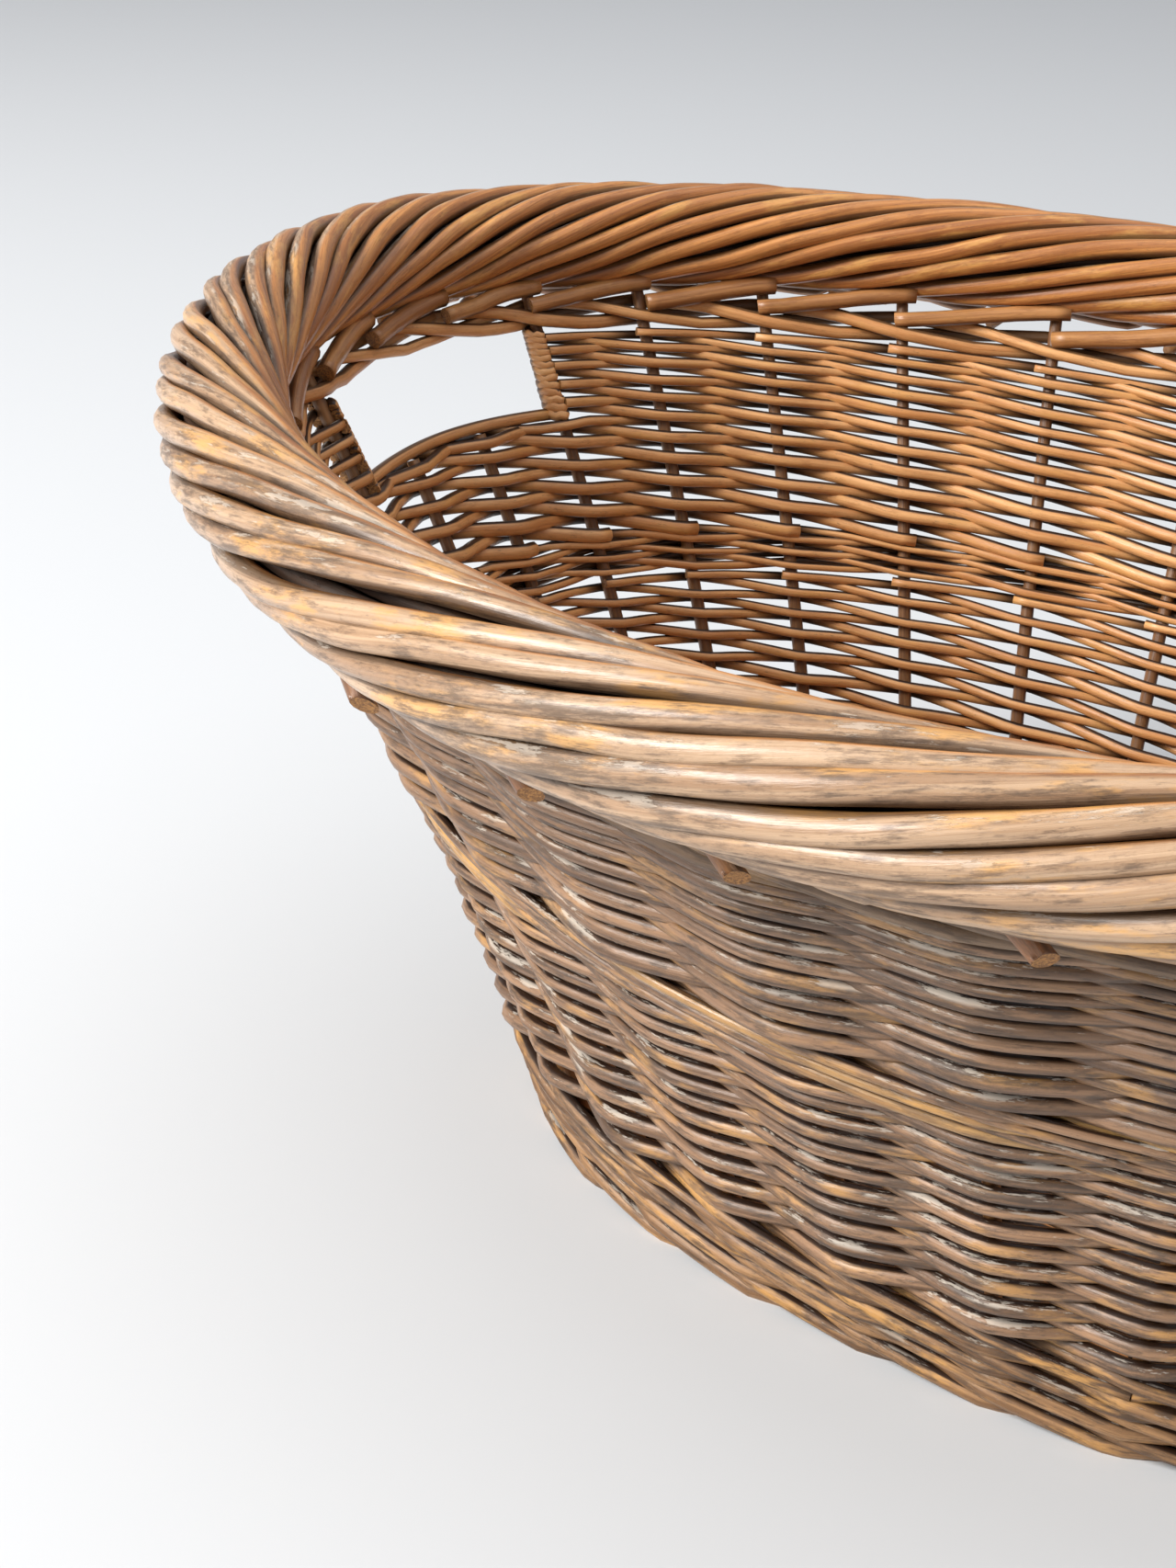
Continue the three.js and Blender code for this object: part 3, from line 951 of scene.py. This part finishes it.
def base_cross_sticks():
    for k in range(len(CROSS_STAKES)):
        name = f"base_cross_stick_{k + 1}"
        low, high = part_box(name)
        y = np.linspace(low[1], high[1], CROSS_STICK_RINGS)
        apart = SPLIT_OPENING * np.exp(-((y / SPLIT_REACH) ** 4)) + HALVES_APART
        halves = []
        for way in (1, -1):
            x = (low[0] + high[0]) / 2 + wander(CROSS_STICK_RINGS, 0.5 * MM)
            line = np.column_stack([x, y, BASE_MIDDLE + way * apart])
            halves.append(Rod(line, SPLIT_RADIUS, UP))
        rods_piece(
            name, halves, CROSS_STICK_RINGS, STAKE_SIDES, base_willow, [name],
            corner_wave=0.08)


# ---------------------------------------------------------------- camera, floor and light

CAMERA_PLACE = Vector((289.5, -689.0, 522.1)) * MM
CAMERA_AZIMUTH = math.radians(36.508)
CAMERA_ELEVATION = math.radians(26.807)
CAMERA_ROLL = math.radians(1.212)
CAMERA_LENS = 53.67
CAMERA_FILM = 36
FARTHEST_SEEN = 100

FLOOR_REACH = 40
FLOOR_COLOUR = (0.71, 0.725, 0.74, 1)
FLOOR_ROUGHNESS = 0.9

LIGHT_AIM = (0, 0, 0.1)
WORLD_COLOUR = (0.93, 0.95, 1, 1)
WORLD_STRENGTH = 0.42


def camera():
    forward = Vector((
        -math.sin(CAMERA_AZIMUTH) * math.cos(CAMERA_ELEVATION),
        math.cos(CAMERA_AZIMUTH) * math.cos(CAMERA_ELEVATION),
        -math.sin(CAMERA_ELEVATION),
    ))
    right = forward.cross(Vector((0, 0, 1))).normalized()
    up = right.cross(forward)
    right, up = (
        right * math.cos(CAMERA_ROLL) + up * math.sin(CAMERA_ROLL),
        up * math.cos(CAMERA_ROLL) - right * math.sin(CAMERA_ROLL),
    )
    turned = Matrix((right, up, -forward)).transposed().to_4x4()
    data = bpy.data.cameras.new("camera")
    data.lens = CAMERA_LENS
    data.sensor_width = CAMERA_FILM
    data.clip_end = FARTHEST_SEEN
    seen_from = bpy.data.objects.new("camera", data)
    seen_from.matrix_world = Matrix.Translation(CAMERA_PLACE) @ turned
    bpy.context.scene.collection.objects.link(seen_from)
    bpy.context.scene.camera = seen_from


def floor():
    bm = bmesh.new()
    bmesh.ops.create_grid(bm, x_segments=1, y_segments=1, size=FLOOR_REACH)
    mesh = bpy.data.meshes.new("floor")
    bm.to_mesh(mesh)
    bm.free()
    finish = Finish("pale_floor")
    finish.surface(Base_Color=FLOOR_COLOUR, Roughness=FLOOR_ROUGHNESS)
    mesh.materials.append(finish.material)
    ground = bpy.data.objects.new("floor", mesh)
    bpy.context.scene.collection.objects.link(ground)


def lamp(name, place, size, power, colour):
    data = bpy.data.lights.new(name, "AREA")
    data.shape = "DISK"
    data.size = size
    data.energy = power
    data.color = colour
    light = bpy.data.objects.new(name, data)
    towards = (Vector(LIGHT_AIM) - Vector(place)).to_track_quat("-Z", "Y")
    light.matrix_world = Matrix.Translation(place) @ towards.to_matrix().to_4x4()
    bpy.context.scene.collection.objects.link(light)


def lights():
    lamp("window", place=(-1.8, -2.6, 2.3), size=1.8, power=184, colour=(1, 0.985, 0.96))
    lamp("overhead", place=(0, 0.3, 3.4), size=4.0, power=34, colour=(1, 1, 1))
    world = bpy.data.worlds.new("studio")
    world.use_nodes = True
    sky = world.node_tree.nodes["Background"]
    sky.inputs["Color"].default_value = WORLD_COLOUR
    sky.inputs["Strength"].default_value = WORLD_STRENGTH
    bpy.context.scene.world = world
    bpy.context.scene.view_settings.view_transform = "Standard"


camera()
floor()
lights()

wale("upsett_wale", UPSETT, UPSETT_ROUNDS, 2.9 * MM, (foot_willow,) * 3, spread=0.6)
siding("lower_siding", LOWER_SIDING, LOWER_ROUNDS, LOWER_CROWDING, BUTT_RADIUS, LOWER_TIP_RADIUS)
middle_finishes = (pale_willow, side_willow, side_willow)
wale("middle_wale", MIDDLE_WALE, MIDDLE_ROUNDS, 1.8 * MM, middle_finishes)
siding("upper_siding", UPPER_SIDING, UPPER_ROUNDS, UPPER_CROWDING, BUTT_RADIUS, UPPER_TIP_RADIUS)
post_turns()
wale("top_wale", TOP_WALE, 1, 2.9 * MM, (top_willow,) * 3)
stakes()
sill_rods()
border_core()
border_roll()
border_ends()
base_weave()
base_long_sticks()
base_cross_sticks()
